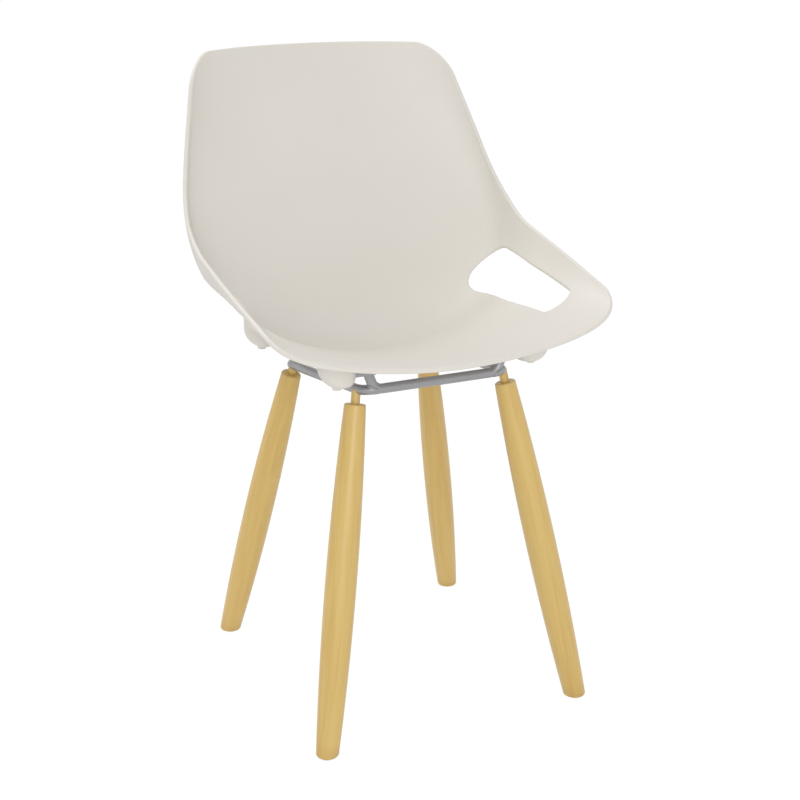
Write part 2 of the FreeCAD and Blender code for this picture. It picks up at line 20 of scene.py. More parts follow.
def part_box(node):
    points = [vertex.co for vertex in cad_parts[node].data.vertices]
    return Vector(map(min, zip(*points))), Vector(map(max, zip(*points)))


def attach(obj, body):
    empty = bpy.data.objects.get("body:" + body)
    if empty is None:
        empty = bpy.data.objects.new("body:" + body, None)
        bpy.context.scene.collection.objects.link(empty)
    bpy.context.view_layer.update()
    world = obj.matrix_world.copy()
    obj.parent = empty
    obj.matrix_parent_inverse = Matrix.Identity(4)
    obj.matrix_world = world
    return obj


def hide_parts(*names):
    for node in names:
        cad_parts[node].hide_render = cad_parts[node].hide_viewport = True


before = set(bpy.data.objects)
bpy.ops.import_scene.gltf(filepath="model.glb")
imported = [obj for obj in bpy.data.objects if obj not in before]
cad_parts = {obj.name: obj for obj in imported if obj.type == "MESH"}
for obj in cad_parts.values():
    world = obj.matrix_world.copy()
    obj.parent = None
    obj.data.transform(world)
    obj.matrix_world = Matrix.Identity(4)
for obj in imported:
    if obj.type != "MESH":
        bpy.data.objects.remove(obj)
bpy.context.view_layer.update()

MM = 0.001
BODY = "root"
LOG = logging.getLogger("armchair")

NOISE_LOW, NOISE_HIGH = 0.3, 0.7
RING_POINTS = 72

Colour = tuple[float, float, float]
Face = tuple[int, ...]


class Place(Enum):
    """A place on the chair whose value is the sign of one coordinate."""

    @property
    def word(self) -> str:
        """Word for this place in the names of parts."""
        return self.name.lower()


class Side(Place):
    """Side of the chair, as the sitter sees it; the value is the sign of X."""

    LEFT = 1
    RIGHT = -1


class End(Place):
    """End of the chair; the value is the sign of Y."""

    FRONT = -1
    REAR = 1


CORNERS = tuple(f"{end.word}_{side.word}" for end in End for side in Side)


def linear(colour: Colour) -> tuple[float, float, float, float]:
    """Turn a screen colour from 0 to 255 into the linear colour that a shader takes, with an alpha of 1."""
    parts = [value / 255 for value in colour]
    steps = [part / 12.92 if part <= 0.04045 else ((part + 0.055) / 1.055) ** 2.4 for part in parts]
    return (*steps, 1.0)


class NodeBench:
    """A material under construction, with short calls for the nodes that the finishes use."""

    def __init__(self, name: str) -> None:
        """Start a material that holds a principled shader and the object's own coordinates."""
        self.material = bpy.data.materials.new(name)
        self.material.use_nodes = True
        self.tree = self.material.node_tree
        self.shader = self.tree.nodes["Principled BSDF"]
        self.place = self.tree.nodes.new("ShaderNodeTexCoord").outputs["Object"]

    def link(self, output: bpy.types.NodeSocket, target: bpy.types.NodeSocket) -> None:
        """Join two sockets."""
        self.tree.links.new(output, target)

    def node(self, kind: str, **values: float | Sequence[float]) -> bpy.types.Node:
        """Add a node with plain values on its inputs; an underscore in a name stands for a space."""
        node = self.tree.nodes.new(kind)
        for name, value in values.items():
            node.inputs[name.replace("_", " ")].default_value = value
        return node

    def mapped(self, source: bpy.types.NodeSocket, kind: str = "POINT", **values: Sequence[float]
               ) -> bpy.types.NodeSocket:
        """Move, turn or stretch coordinates.

        Args:
            source: Coordinates to change.
            kind: POINT to move the coordinates, TEXTURE to undo such a move.
            **values: Location, Rotation or Scale.

        Returns:
            The changed coordinates.
        """
        node = self.node("ShaderNodeMapping", **values)
        node.vector_type = kind
        self.link(source, node.inputs["Vector"])
        return node.outputs["Vector"]

    def noise(self, source: bpy.types.NodeSocket, scale: float, detail: float = 2.0, distortion: float = 0.0
              ) -> bpy.types.NodeSocket:
        """Return a noise value from 0 to 1 at the given coordinates."""
        node = self.node("ShaderNodeTexNoise", Scale=scale, Detail=detail, Distortion=distortion)
        self.link(source, node.inputs["Vector"])
        return node.outputs["Fac"]

    def spread(self, source: bpy.types.NodeSocket, low: float, high: float, to_low: float, to_high: float
               ) -> bpy.types.NodeSocket:
        """Map a value from one range to another, held within the second range."""
        node = self.node("ShaderNodeMapRange", From_Min=low, From_Max=high, To_Min=to_low, To_Max=to_high)
        self.link(source, node.inputs["Value"])
        return node.outputs["Result"]

    def ramp(self, source: bpy.types.NodeSocket, stops: Sequence[tuple[float, Colour]]
             ) -> bpy.types.NodeSocket:
        """Turn a value into a colour.

        Args:
            source: Value from 0 to 1.
            stops: Pairs of a value and its screen colour, in rising order.

        Returns:
            The colour.
        """
        node = self.node("ShaderNodeValToRGB")
        steps = node.color_ramp.elements
        while len(steps) < len(stops):
            steps.new(0.5)
        for step, (position, colour) in zip(steps, stops):
            step.position = position
            step.color = linear(colour)
        self.link(source, node.inputs["Fac"])
        return node.outputs["Color"]

    def mixed(self, amount: bpy.types.NodeSocket, base: bpy.types.NodeSocket, other: Colour
              ) -> bpy.types.NodeSocket:
        """Mix a screen colour into another by an amount from 0 to 1."""
        node = self.node("ShaderNodeMix")
        node.data_type = "RGBA"
        # The node has several inputs named A and B, so its sockets for colours are taken by number.
        factor, first, second = (node.inputs[i] for i in (0, 6, 7))
        self.link(amount, factor)
        self.link(base, first)
        second.default_value = linear(other)
        return node.outputs[2]

    def feed(self, name: str, output: bpy.types.NodeSocket) -> None:
        """Join an output to one of the shader's inputs."""
        self.link(output, self.shader.inputs[name])

    def drift(self, source: bpy.types.NodeSocket, to_low: float, to_high: float) -> bpy.types.NodeSocket:
        """Map a noise, over the range that it fills, to another range."""
        return self.spread(source, NOISE_LOW, NOISE_HIGH, to_low, to_high)

    def clouded(self, source: bpy.types.NodeSocket, shade: Colour, colour: Colour) -> None:
        """Let a noise move the surface between two near colours."""
        self.feed("Base Color", self.ramp(source, ((NOISE_LOW, shade), (NOISE_HIGH, colour))))

    def bump(self, height: bpy.types.NodeSocket, strength: float, distance: float) -> None:
        """Let a height shape the surface's light; the distance is in metres."""
        node = self.node("ShaderNodeBump", Strength=strength, Distance=distance)
        self.link(height, node.inputs["Height"])
        self.feed("Normal", node.outputs["Normal"])

    def set(self, **values: float) -> None:
        """Set plain values on the shader; an underscore in a name stands for a space."""
        for name, value in values.items():
            self.shader.inputs[name.replace("_", " ")].default_value = value


@dataclass(frozen=True)
class MouldedPlastic:
    """Satin moulded plastic: an even colour with a fine spark-eroded grain."""

    name: str
    colour: Colour
    shade: Colour
    roughness: float = 0.46
    smoother: float = 0.04
    rougher: float = 0.05
    cloud_scale: float = 5.0
    cloud_detail: float = 3.0
    rub_scale: float = 38.0
    rub_detail: float = 4.0
    grain_scale: float = 1500.0
    grain_strength: float = 0.12
    grain_depth: float = 0.00012
    refraction: float = 1.47

    def material(self) -> bpy.types.Material:
        """Build the material."""
        bench = NodeBench(self.name)
        cloud = bench.noise(bench.place, self.cloud_scale, self.cloud_detail)
        bench.clouded(cloud, self.shade, self.colour)
        smooth, rough = self.roughness - self.smoother, self.roughness + self.rougher
        rub = bench.noise(bench.place, self.rub_scale, self.rub_detail)
        bench.feed("Roughness", bench.drift(rub, smooth, rough))
        bench.bump(bench.noise(bench.place, self.grain_scale), self.grain_strength, self.grain_depth)
        bench.set(IOR=self.refraction)
        return bench.material


@dataclass(frozen=True)
class CoatedSteel:
    """Satin metal: paint or plating with a faint texture."""

    name: str
    colour: Colour
    shade: Colour
    metallic: float
    roughness: float
    smoother: float = 0.03
    rougher: float = 0.05
    cloud_scale: float = 22.0
    cloud_detail: float = 4.0
    texture_scale: float = 900.0
    texture_detail: float = 3.0
    texture_strength: float = 0.15
    texture_depth: float = 0.0001

    def material(self) -> bpy.types.Material:
        """Build the material: the darker a spot, the rougher it is."""
        bench = NodeBench(self.name)
        cloud = bench.noise(bench.place, self.cloud_scale, self.cloud_detail)
        bench.clouded(cloud, self.shade, self.colour)
        smooth, rough = self.roughness - self.smoother, self.roughness + self.rougher
        bench.feed("Roughness", bench.drift(cloud, rough, smooth))
        texture = bench.noise(bench.place, self.texture_scale, self.texture_detail)
        bench.bump(texture, self.texture_strength, self.texture_depth)
        bench.set(Metallic=self.metallic)
        return bench.material


@dataclass(frozen=True)
class TurnedBeech:
    """Lacquered light beech whose grain runs along a leg, with painted shade near its foot; lengths in
    metres.
    """

    name: str
    light: Colour = (202, 171, 99)
    dark: Colour = (195, 162, 89)
    streak: Colour = (191, 148, 76)
    # Colour of the flecks, also mixed in as painted shade at the foot of the leg.
    pore_and_foot_shade: Colour = (168, 128, 64)
    blank_offset: float = 0.11
    ring_scale: float = 130.0
    ring_shape: tuple[float, float, float] = (1.0, 0.35, 0.036)
    ring_detail: float = 3.0
    ring_waviness: float = 0.8
    ring_stops: tuple[float, float, float, float] = (0.34, 0.5, 0.6, 0.74)
    streak_scale: float = 70.0
    streak_shape: tuple[float, float, float] = (1.0, 1.0, 0.06)
    streak_waviness: float = 0.4
    streak_spread: tuple[float, float, float, float] = (0.52, 0.78, 0.0, 0.4)
    fleck_scale: float = 2300.0
    fleck_shape: tuple[float, float, float] = (1.0, 1.0, 0.03)
    fleck_spread: tuple[float, float, float, float] = (0.62, 0.76, 0.0, 0.3)
    fleck_strength: float = 0.1
    fleck_depth: float = 0.0001
    # Painted shade at the foot: up to a quarter of the pore colour, mixed in over the lowest 20 mm of the
    # leg.
    foot_spread: tuple[float, float, float, float] = (0.004, 0.02, 0.25, 0.0)
    roughness: tuple[float, float] = (0.44, 0.36)
    lacquer: float = 0.25
    lacquer_roughness: float = 0.3

    def material(self, foot: Vector, lean: Euler, turn: float) -> bpy.types.Material:
        """Build the material for one leg.

        Args:
            foot: Point on the floor where the leg's axis starts.
            lean: Rotation that brings the upright axis onto the leg's axis.
            turn: How far the blank was turned about its axis before it was cut, in radians.

        Returns:
            The material.
        """
        bench = NodeBench(self.name)
        along = bench.mapped(bench.place, "TEXTURE", Location=foot, Rotation=lean)
        offset = (self.blank_offset * math.cos(turn), self.blank_offset * math.sin(turn), turn)
        board = bench.mapped(along, Location=offset, Rotation=(0.0, 0.0, turn))
        figure = bench.mapped(board, Scale=self.ring_shape)
        rings = bench.noise(figure, self.ring_scale, self.ring_detail, self.ring_waviness)
        tones = (self.dark, self.light, self.light, self.dark)
        colour = bench.ramp(rings, tuple(zip(self.ring_stops, tones)))
        fibres = bench.mapped(board, Scale=self.streak_shape)
        streaks = bench.noise(fibres, self.streak_scale, distortion=self.streak_waviness)
        colour = bench.mixed(bench.spread(streaks, *self.streak_spread), colour, self.streak)
        flecks = bench.noise(bench.mapped(board, Scale=self.fleck_shape), self.fleck_scale)
        colour = bench.mixed(bench.spread(flecks, *self.fleck_spread), colour, self.pore_and_foot_shade)
        # Painted shade: the lowest part of the leg darkens towards the pore colour, in place of the shade at
        # its rounded foot.
        height = bench.node("ShaderNodeSeparateXYZ")
        bench.link(along, height.inputs["Vector"])
        colour = bench.mixed(bench.spread(height.outputs["Z"], *self.foot_spread), colour, self.pore_and_foot_shade)
        bench.feed("Base Color", colour)
        bench.feed("Roughness", bench.drift(rings, *self.roughness))
        bench.bump(flecks, self.fleck_strength, self.fleck_depth)
        bench.set(Coat_Weight=self.lacquer, Coat_Roughness=self.lacquer_roughness)
        return bench.material


SHELL_PLASTIC = MouldedPlastic("shell_plastic", (212, 208, 200), (209, 205, 197))
CAP_PLASTIC = MouldedPlastic("cap_plastic", (214, 211, 200), (209, 206, 195), roughness=0.5)
GLIDE_PLASTIC = MouldedPlastic("glide_plastic", (205, 203, 196), (198, 196, 188), roughness=0.55)
ROD_COAT = CoatedSteel("silver_coat", (155, 155, 158), (147, 147, 150), metallic=0.5, roughness=0.36)
ZINC = CoatedSteel("zinc_plate", (178, 178, 182), (160, 160, 166), metallic=1.0, roughness=0.3)
BRASS = CoatedSteel("brass", (202, 168, 98), (188, 152, 84), metallic=1.0, roughness=0.32)


def put_material(piece: bpy.types.Object, material: bpy.types.Material) -> None:
    """Give a whole object one finish."""
    piece.data.materials.clear()
    piece.data.materials.append(material)


def dress(node: str, material: bpy.types.Material) -> None:
    """Give a part of the frame its finish."""
    put_material(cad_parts[node], material)
    LOG.info("%s takes the finish %s", node, material.name)


def add_piece(piece: bpy.types.Object, slot: str, *replaced: str) -> None:
    """Hand a new piece to the frame.

    Args:
        piece: Finished mesh object, with its place in its mesh.
        slot: Material slot of the record that the piece belongs to; not used.
        *replaced: Solids that the piece stands for.
    """
    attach(piece, BODY)
    if replaced:
        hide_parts(*replaced)
    LOG.info("%s: %d faces", piece.name, len(piece.data.polygons))


def round_angles() -> np.ndarray:
    """Return the angles of a ring's points."""
    return np.linspace(0, 2 * math.pi, RING_POINTS, endpoint=False)


def ring(centre: Sequence[float], radius: float | np.ndarray, height: float | np.ndarray) -> np.ndarray:
    """Return points of a level ring, run against the clock as seen from above.

    Args:
        centre: X and Y of the middle.
        radius: One radius, or one for each point.
        height: One height, or one for each point.

    Returns:
        Rows of X, Y and Z.
    """
    angle = round_angles()
    level = np.broadcast_to(height, RING_POINTS)
    return np.column_stack((centre[0] + radius * np.cos(angle), centre[1] + radius * np.sin(angle), level))


def skin(rings: Sequence[np.ndarray], closed: bool) -> tuple[np.ndarray, list[Face]]:
    """Join rings of points into a closed skin.

    Args:
        rings: Rings of equal length; the skin faces outward where they run upward outside.
        closed: Whether the last ring joins the first; if not, each end gets a flat face.

    Returns:
        Points and faces.
    """
    count = len(rings[0])
    faces = []
    for i in range(len(rings) - (0 if closed else 1)):
        here, there = i * count, (i + 1) % len(rings) * count
        for j in range(count):
            k = (j + 1) % count
            faces.append((here + j, here + k, there + k, there + j))
    if not closed:
        faces.append(tuple(reversed(range(count))))
        faces.append(tuple(range((len(rings) - 1) * count, len(rings) * count)))
    return np.vstack(rings), faces


def unit(rows: np.ndarray) -> np.ndarray:
    """Bring each row to a length of 1."""
    return rows / np.linalg.norm(rows, axis=1)[:, None]


def mesh_object(name: str, points: np.ndarray, faces: list[Face]) -> bpy.types.Object:
    """Make a smooth mesh object in the scene.

    Args:
        name: Name of the object and its mesh.
        points: Rows of X, Y and Z in millimetres.
        faces: Numbers of the points round each face.

    Returns:
        The object.
    """
    mesh = bpy.data.meshes.new(name)
    mesh.from_pydata((points * MM).tolist(), [], faces)
    mesh.shade_smooth()
    piece = bpy.data.objects.new(name, mesh)
    bpy.context.scene.collection.objects.link(piece)
    return piece


@dataclass(frozen=True)
class BentLine:
    """A straight line, an arc and a straight line in the plane of Y and Z, in millimetres."""

    start: tuple[float, float]
    bend: tuple[float, float]
    end: tuple[float, float]
    radius: float

    def at(self, station: np.ndarray) -> np.ndarray:
        """Return rows of Y and Z for stations from 0 at the start, over 1 at the arc's middle, to 2."""
        start, bend, end = (np.array(point) for point in (self.start, self.bend, self.end))
        first, second = np.linalg.norm(bend - start), np.linalg.norm(end - bend)
        along, onward = (bend - start) / first, (end - bend) / second
        turn = math.acos(float(along @ onward))
        cut = self.radius * math.tan(turn / 2)
        normal = np.array((-along[1], along[0]))
        centre = bend - along * cut + normal * self.radius
        half_arc = self.radius * turn / 2
        lower = first - cut + half_arc
        upper = second - cut + half_arc
        run = np.where(station <= 1, station * lower, lower + (station - 1) * upper) - (first - cut)
        angle = np.clip(run / self.radius, 0, turn)[:, None]
        arc = centre + self.radius * (along * np.sin(angle) - normal * np.cos(angle))
        before = np.minimum(run, 0)[:, None]
        after = np.maximum(run - 2 * half_arc, 0)[:, None]
        return arc + along * before + onward * after


@dataclass(frozen=True)
class Loop:
    """A closed edge of the moulding on its sitting face: places, and which way leads off the material."""

    places: np.ndarray
    outward: int


@dataclass
class MouldedShell:
    """Seat, back and arms in one moulding, with a half-round lip; all sizes in millimetres.

    The sitting face is a net of cross-sections.  A place on it is a station from 0 at the front edge to 2 at
    the top, and an offset across from -1 at the right rim to 1 at the left rim.  A search for a place starts
    from a first guess: the front edge's reach, the length of a station and the half width.
    """

    wall: float = 6.0
    middle: BentLine = BentLine((-242.2, 476.0), (45.3, 423.0), (237.8, 796.0), 85.5)
    rim: BentLine = BentLine((-231.2, 519.5), (82.8, 583.5), (177.3, 793.0), 149.0)
    half_widths: tuple[float, float, float, float] = (220.5, 225.5, 222.5, 175.0)
    back_taper: float = 1.14
    stations: tuple[float, float, float, float] = (0.0, 0.65, 1.28, 2.0)
    wraps: tuple[float, float, float, float] = (87.0, 61.0, 97.0, 66.0)
    squareness: tuple[float, float, float, float] = (-0.2, 0.28, 0.265, 0.036)
    front_corner: tuple[float, float] = (0.178, 0.571)
    head_corner: tuple[float, float] = (0.216, 0.257)
    hole_corners: tuple[tuple[float, float, float], ...] = (
        (-137.8, 492.0, 11.0), (68.3, 477.0, 31.0), (68.3, 534.7, 22.0), (-137.8, 514.3, 11.0))
    hole_start: tuple[float, float] = (0.7, 0.6)
    hole_parts: int = 11
    hole_rounds: int = 15
    boss_radius: float = 10.0
    first_guess: tuple[float, float, float] = (242.0, 330.0, 230.0)
    guess_span: tuple[float, float] = (0.05, 1.1)
    height_rounds: int = 40
    longest_move: float = 0.1
    slope_step: float = 1e-4
    net_size: tuple[float, float] = (350.0, 285.0)
    net_step: float = 6.5
    net_margin: float = 0.55
    net_parts: int = 40
    least_gap: float = 1e-6
    edge_step: float = 4.0
    side_points: int = 198
    cross_points: int = 158
    corner_steps: int = 40
    lip_steps: int = 10
    finish: MouldedPlastic = SHELL_PLASTIC

    def blend(self, station: np.ndarray, values: Sequence[float]) -> np.ndarray:
        """Blend a value smoothly between its four stations."""
        result = np.full_like(station, values[-1])
        for i in reversed(range(3)):
            low, high = self.stations[i], self.stations[i + 1]
            part = np.clip((station - low) / (high - low), 0, 1)
            eased = values[i] + (values[i + 1] - values[i]) * part * part * (3 - 2 * part)
            result = np.where(station <= high, eased, result)
        return result

    def half_width(self, station: np.ndarray) -> np.ndarray:
        """Half width of the rim: a parabola along the arm, then a taper up the back."""
        front, arm, fold, head = self.half_widths
        s = station
        along_arm = front * (1 - s) * (1 - 2 * s) + arm * 4 * s * (1 - s) + fold * s * (2 * s - 1)
        up_back = fold - (fold - head) * np.maximum(s - 1, 0) ** self.back_taper
        return np.where(s <= 1, along_arm, up_back)

    def points(self, places: np.ndarray) -> np.ndarray:
        """Return points of the sitting face for rows of a station and an offset across."""
        station, offset = places[:, 0], places[:, 1]
        low, high = self.middle.at(station), self.rim.at(station)
        wrap = np.radians(self.blend(station, self.wraps))
        square = self.blend(station, self.squareness)
        angle = wrap * offset
        across = np.sin(angle) * (1 + square * np.cos(angle) ** 2)
        across = across / (np.sin(wrap) * (1 + square * np.cos(wrap) ** 2))
        rise = (1 - np.cos(angle)) / (1 - np.cos(wrap))
        return np.column_stack((self.half_width(station) * across, low + (high - low) * rise[:, None]))

    def slopes(self, face: Callable[[np.ndarray], np.ndarray], places: np.ndarray) -> np.ndarray:
        """Return how a point of a face moves with its station, and with its offset across.

        Args:
            face: Function that turns places into points.
            places: Rows of a station and an offset across.

        Returns:
            For each place, a row for each coordinate and a column for each way.
        """
        ways = self.slope_step * np.eye(2)
        changes = [face(places + way) - face(places - way) for way in ways]
        return np.stack(changes, axis=2) / (2 * self.slope_step)

    def normals(self, places: np.ndarray) -> np.ndarray:
        """Return directions square to the sitting face, towards the sitter."""
        slopes = self.slopes(self.points, places)
        return unit(np.cross(slopes[:, :, 1], slopes[:, :, 0]))

    def wall_middle(self, places: np.ndarray) -> np.ndarray:
        """Return points halfway through the wall."""
        return self.points(places) - self.normals(places) * self.wall / 2

    def height_over(self, spots: np.ndarray) -> np.ndarray:
        """Find how high the middle of the wall lies over spots of the floor, given as rows of X and Y."""
        reach, length, half_width = self.first_guess
        stations = np.clip((spots[:, 1] + reach) / length, *self.guess_span)
        places = np.column_stack((stations, spots[:, 0] / half_width))
        for _ in range(self.height_rounds):
            miss = spots - self.wall_middle(places)[:, :2]
            slopes = self.slopes(self.wall_middle, places)[:, :2]
            move = np.linalg.solve(slopes, miss[:, :, None])[:, :, 0]
            places = places + np.clip(move, -self.longest_move, self.longest_move)
        return self.wall_middle(places)[:, 2]

    def boss(self, corner: str) -> tuple[np.ndarray, list[Face]]:
        """Build the points and faces of the boss round one insert, from below it up into the wall."""
        low, high = (np.array(end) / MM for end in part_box(f"threaded_insert_{corner}"))
        centre = (low + high)[:2] / 2
        bore = (high - low)[0] / 2
        outer = ring(centre, self.boss_radius, low[2])
        top = outer.copy()
        top[:, 2] = self.height_over(outer[:, :2])
        return skin([ring(centre, bore, high[2]), ring(centre, bore, low[2]), outer, top], closed=False)

    def evenly(self, places: np.ndarray) -> np.ndarray:
        """Space the places of a closed edge evenly."""
        closed = np.vstack((places, places[:1]))
        steps = np.linalg.norm(np.diff(self.points(closed), axis=0), axis=1)
        run = np.concatenate(((0.0,), np.cumsum(steps)))
        count = round(run[-1] / self.edge_step)
        wanted = np.linspace(0, run[-1], count, endpoint=False)
        return np.column_stack([np.interp(wanted, run, closed[:, i]) for i in range(2)])

    def outer_edge(self) -> Loop:
        """Return the edge all round: straight in the net, with a quarter ellipse at each corner."""
        quarter = np.linspace(0, math.pi / 2, self.corner_steps)
        (front_long, front_wide), (head_long, head_wide) = self.front_corner, self.head_corner
        front = np.column_stack((front_long * (1 - np.cos(quarter)), 1 - front_wide * (1 - np.sin(quarter))))
        head = np.column_stack((2 - head_long * (1 - np.sin(quarter)), 1 - head_wide * (1 - np.cos(quarter))))
        along_side = np.linspace(front_long, 2 - head_long, self.side_points + 2)[1:-1]
        side = np.column_stack((along_side, np.ones(self.side_points)))
        left = np.vstack((front, side, head))
        right = left[::-1] * (1, -1)
        cross = np.linspace(1, -1, self.cross_points + 2)[1:-1, None]
        head_edge = np.hstack((np.full_like(cross, 2.0), cross * (1 - head_wide)))
        front_edge = np.hstack((np.zeros_like(cross), -cross * (1 - front_wide)))
        return Loop(self.evenly(np.vstack((left, head_edge, right, front_edge))), 1)

    def hole_outline(self) -> np.ndarray:
        """Return the arm opening as the side view shows it: four sides with rounded corners."""
        points = []
        corners = self.hole_corners
        for i, (y, z, radius) in enumerate(corners):
            here = np.array((y, z))
            before = np.array(corners[i - 1][:2]) - here
            after = np.array(corners[(i + 1) % len(corners)][:2]) - here
            before, after = before / np.linalg.norm(before), after / np.linalg.norm(after)
            half = math.acos(float(before @ after)) / 2
            centre = here + (before + after) / np.linalg.norm(before + after) * radius / math.sin(half)
            start = here + before * radius / math.tan(half) - centre
            sweep = np.linspace(0, math.pi - 2 * half, self.corner_steps)[:, None]
            points.append(centre + start * np.cos(sweep) + np.array((-start[1], start[0])) * np.sin(sweep))
        return np.vstack(points)

    def hole_edge(self, side: Side) -> Loop:
        """Find the places of one arm's opening on the net."""
        wanted = self.hole_outline()
        parts = np.linspace(0, 1, self.hole_parts, endpoint=False)[:, None]
        wanted = np.vstack([a + (b - a) * parts for a, b in zip(wanted, np.roll(wanted, -1, axis=0))])
        places = np.tile(self.hole_start, (len(wanted), 1))
        for _ in range(self.hole_rounds):
            miss = wanted - self.points(places)[:, 1:]
            slopes = self.slopes(self.points, places)[:, 1:]
            places = places + np.linalg.solve(slopes, miss[:, :, None])[:, :, 0]
        return Loop(self.evenly(places * (1, side.value)), -1)

    def lip(self, loop: Loop) -> tuple[np.ndarray, np.ndarray, np.ndarray]:
        """Draw an edge in by half the wall and find the directions of its rounding.

        Args:
            loop: Edge of the moulding.

        Returns:
            The places where the flat face ends, the directions square to the face there, and the directions
            that lead off the material.
        """
        points = self.points(loop.places)
        normals = self.normals(loop.places)
        travel = np.roll(points, -1, axis=0) - np.roll(points, 1, axis=0)
        off = unit(np.cross(travel, normals))
        if np.sign(np.sum(off * (points - points.mean(axis=0)))) != loop.outward:
            off = -off
        slopes = self.slopes(self.points, loop.places)
        shift = np.linalg.pinv(slopes) @ (-off * self.wall / 2)[:, :, None]
        places = loop.places + shift[:, :, 0]
        normals = self.normals(places)
        return places, normals, unit(off - normals * np.sum(off * normals, axis=1)[:, None])

    @staticmethod
    def inside(points: np.ndarray, polygon: np.ndarray) -> np.ndarray:
        """Tell which points lie inside a polygon."""
        result = np.zeros(len(points), bool)
        for (ax, ay), (bx, by) in zip(polygon, np.roll(polygon, -1, axis=0)):
            if ay == by:
                continue
            crosses = (ay > points[:, 1]) != (by > points[:, 1])
            result ^= crosses & (points[:, 0] < (bx - ax) * (points[:, 1] - ay) / (by - ay) + ax)
        return result

    def on_material(self, points: np.ndarray, loops: Sequence[np.ndarray]) -> np.ndarray:
        """Tell which points lie inside the first loop and outside the others."""
        result = self.inside(points, loops[0])
        for hole in loops[1:]:
            result &= ~self.inside(points, hole)
        return result

    def net_points(self, loops: Sequence[np.ndarray]) -> np.ndarray:
        """Return the flat points of an even net that lie on the material and clear of its edges."""
        long, half_wide = self.net_size
        rows, columns = np.arange(0, 2 * long, self.net_step), np.arange(0, half_wide, self.net_step)
        columns = np.concatenate((-columns[:0:-1], columns))
        grid = np.stack(np.meshgrid(rows, columns, indexing="ij"), axis=2).reshape(-1, 2)
        grid = grid[self.on_material(grid, loops)]
        edge = np.vstack(loops)
        parts = np.array_split(grid, self.net_parts)
        gaps = np.concatenate([np.linalg.norm(part[:, None] - edge, axis=2).min(axis=1) for part in parts])
        return grid[gaps > self.net_margin * self.net_step]

    def net(self, loops: Sequence[np.ndarray]) -> tuple[np.ndarray, np.ndarray, list[np.ndarray]]:
        """Cover the face between the edges with triangles.

        Args:
            loops: Places of the outer edge first, then those of the openings.

        Returns:
            All places, the triangles, and for each edge the numbers of its places.
        """
        size = np.array(self.net_size)
        flat = [loop * size for loop in loops]
        starts = np.cumsum([0] + [len(loop) for loop in flat])
        rims = [np.arange(first, end) for first, end in zip(starts, starts[1:])]
        edges = [(int(a), int(b)) for rim in rims for a, b in zip(rim, np.roll(rim, -1))]
        given = [Vector(point) for point in np.vstack((*flat, self.net_points(flat)))]
        points, _, triangles, origins, *_ = delaunay_2d_cdt(given, edges, [], 0, self.least_gap)
        points, triangles = np.array([tuple(point) for point in points]), np.array(triangles)
        numbers = np.zeros(len(given), int)
        for new, olds in enumerate(origins):
            numbers[olds] = new
        wanted = self.on_material(points[triangles].mean(axis=1), flat)
        return points / size, triangles[wanted], [numbers[rim] for rim in rims]

    @staticmethod
    def facing(points: np.ndarray, directions: np.ndarray, faces: list[Face]) -> list[Face]:
        """Turn over each face that points against the directions at its corners."""
        a, b, c = np.array([face[:3] for face in faces]).T
        square = np.cross(points[b] - points[a], points[c] - points[a])
        against = np.sum(square * (directions[a] + directions[c]), axis=1) < 0
        return [tuple(int(i) for i in (face[::-1] if over else face)) for face, over in zip(faces, against)]

    def sheet(self) -> tuple[np.ndarray, np.ndarray, list[Face]]:
        """Build the moulding without its bosses: sitting face, outer face and a half-round lip at each edge.

        Returns:
            Points, the smooth direction at each, and faces.
        """
        loops = (self.outer_edge(), self.hole_edge(Side.LEFT), self.hole_edge(Side.RIGHT))
        lips = [self.lip(loop) for loop in loops]
        places, triangles, rims = self.net([lip[0] for lip in lips])
        sitting, normals = self.points(places), self.normals(places)
        count = len(places)
        points, directions = [sitting, sitting - normals * self.wall], [normals, -normals]
        faces = [tuple(face) for face in np.vstack((triangles, triangles + count))]
        first = 2 * count
        for (_, square, off), rim in zip(lips, rims):
            rings = [rim]
            for turn in np.linspace(0, math.pi, self.lip_steps + 1)[1:-1]:
                way = square * math.cos(turn) + off * math.sin(turn)
                points.append(sitting[rim] + (way - square) * self.wall / 2)
                directions.append(way)
                rings.append(np.arange(first, first + len(rim)))
                first += len(rim)
            rings.append(rim + count)
            for inner, outer in zip(rings, rings[1:]):
                faces += zip(inner, np.roll(inner, -1), np.roll(outer, -1), outer)
        points, directions = np.vstack(points), np.vstack(directions)
        return points, directions, self.facing(points, directions, faces)

    def build(self) -> bpy.types.Object:
        """Build the shell with its bosses and smooth directions taken from the surface itself."""
        points, directions, faces = self.sheet()
        corner_normals = [directions[i] for face in faces for i in face]
        for corner in CORNERS:
            boss, boss_faces = self.boss(corner)
            for face in boss_faces:
                a, b, c = (boss[i] for i in face[:3])
                corner_normals += [np.cross(b - a, c - a)] * len(face)
            faces += [tuple(i + len(points) for i in face) for face in boss_faces]
            points = np.vstack((points, boss))
        shell = mesh_object("moulded_shell", points, faces)
        shell.data.normals_split_custom_set([Vector(normal).normalized() for normal in corner_normals])
        return shell

    def add(self) -> None:
        """Put the shell in the scene in place of its solid."""
        shell = self.build()
        put_material(shell, self.finish.material())
        add_piece(shell, "shell_plastic", "seat_shell")


